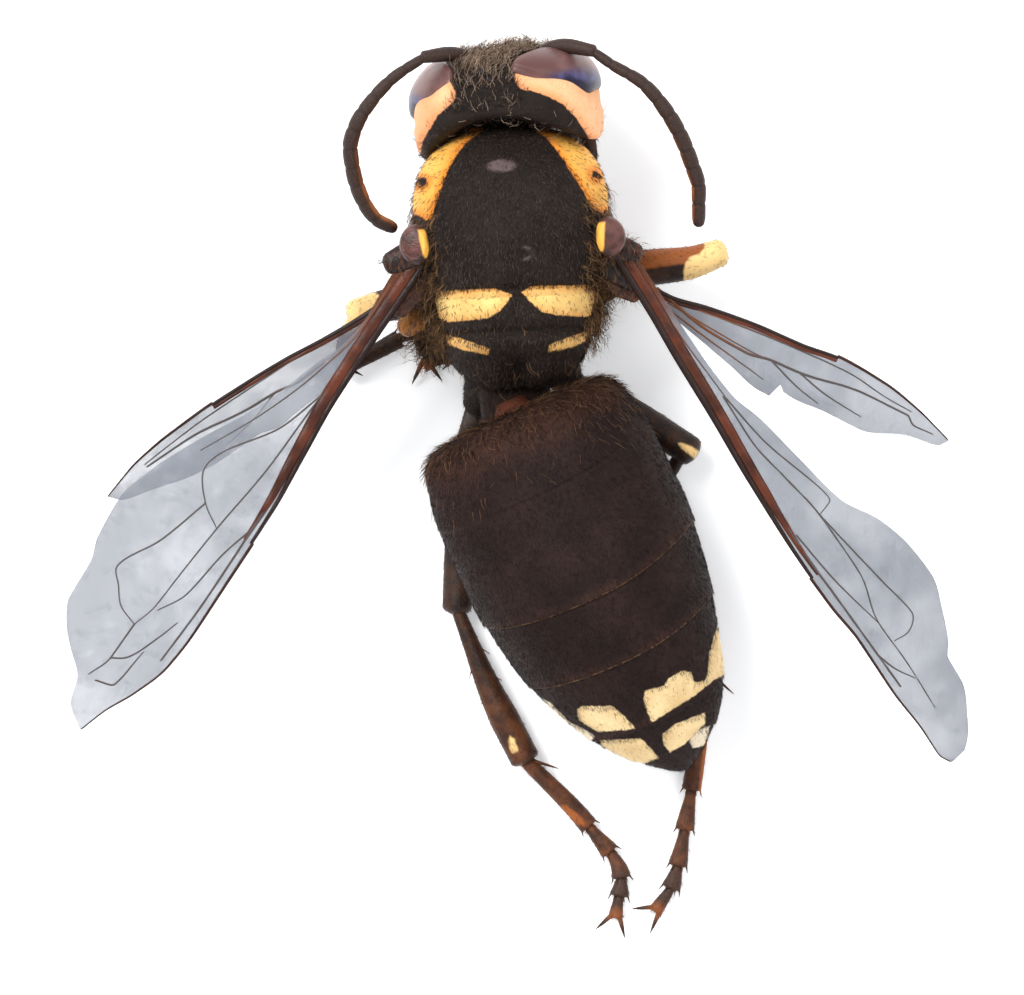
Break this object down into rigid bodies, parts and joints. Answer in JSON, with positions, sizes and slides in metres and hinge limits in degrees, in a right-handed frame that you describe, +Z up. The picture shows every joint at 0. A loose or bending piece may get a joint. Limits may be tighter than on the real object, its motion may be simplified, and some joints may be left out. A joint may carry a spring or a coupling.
{
  "type": "bald-faced hornet",
  "caption": "Bald-faced hornet queen, life size and still: black body with pale marks, clear wings half spread, resting on its belly and folded legs.",
  "frame": {"origin": "on the floor, under the middle of the box round the whole insect", "axes": "+Z up from the floor, +Y towards the head, +X towards the insect's right side as seen from above with the head up"},
  "size_m": [0.0226, 0.0226, 0.0067],
  "materials": {
    "black_shell": "black-brown insect shell, satin, under short grey-brown hair",
    "amber_shell": "yellow-orange shell bands round the collar",
    "pale_shell": "cream shell patches on black",
    "eye": "plum-grey compound eye, glossy",
    "dark_limb": "dark brown feelers and feet",
    "brown_limb": "red-brown legs with pale knees",
    "wing": "clear blue-grey membrane with brown veins"
  },
  "bodies": {
    "root": {"head": "black_shell", "eye_left": "eye", "eye_right": "eye", "mandible_left": "pale_shell", "mandible_right": "pale_shell", "antenna_left_scape": "dark_limb", "antenna_left_inner": "dark_limb", "antenna_left_outer": "brown_limb", "antenna_right_scape": "dark_limb", "antenna_right_inner": "dark_limb", "antenna_right_outer": "brown_limb", "pronotum": "amber_shell", "thorax": "black_shell", "propodeum": "black_shell", "tegula_left": "brown_limb", "tegula_right": "brown_limb", "gaster_1": "black_shell", "gaster_2": "black_shell", "gaster_3": "black_shell", "gaster_4": "pale_shell", "gaster_5": "pale_shell", "gaster_6": "pale_shell", "forewing_left": "wing", "forewing_right": "wing", "hindwing_left": "wing", "hindwing_right": "wing", "coxa_fore_left": "black_shell", "coxa_fore_right": "black_shell", "coxa_mid_left": "black_shell", "coxa_mid_right": "black_shell", "coxa_hind_left": "black_shell", "coxa_hind_right": "black_shell", "femur_fore_left": "brown_limb", "femur_fore_right": "brown_limb", "femur_mid_left": "brown_limb", "femur_mid_right": "brown_limb", "femur_hind_left": "brown_limb", "femur_hind_right": "brown_limb", "tibia_fore_left": "brown_limb", "tibia_fore_right": "brown_limb", "tibia_mid_left": "brown_limb", "tibia_mid_right": "brown_limb", "tibia_hind_left": "brown_limb", "tibia_hind_right": "brown_limb", "tarsus_fore_left": "dark_limb", "tarsus_fore_right": "dark_limb", "tarsus_mid_left": "dark_limb", "tarsus_mid_right": "dark_limb", "tarsus_hind_left": "dark_limb", "tarsus_hind_right": "dark_limb"}
  },
  "joints": []
}
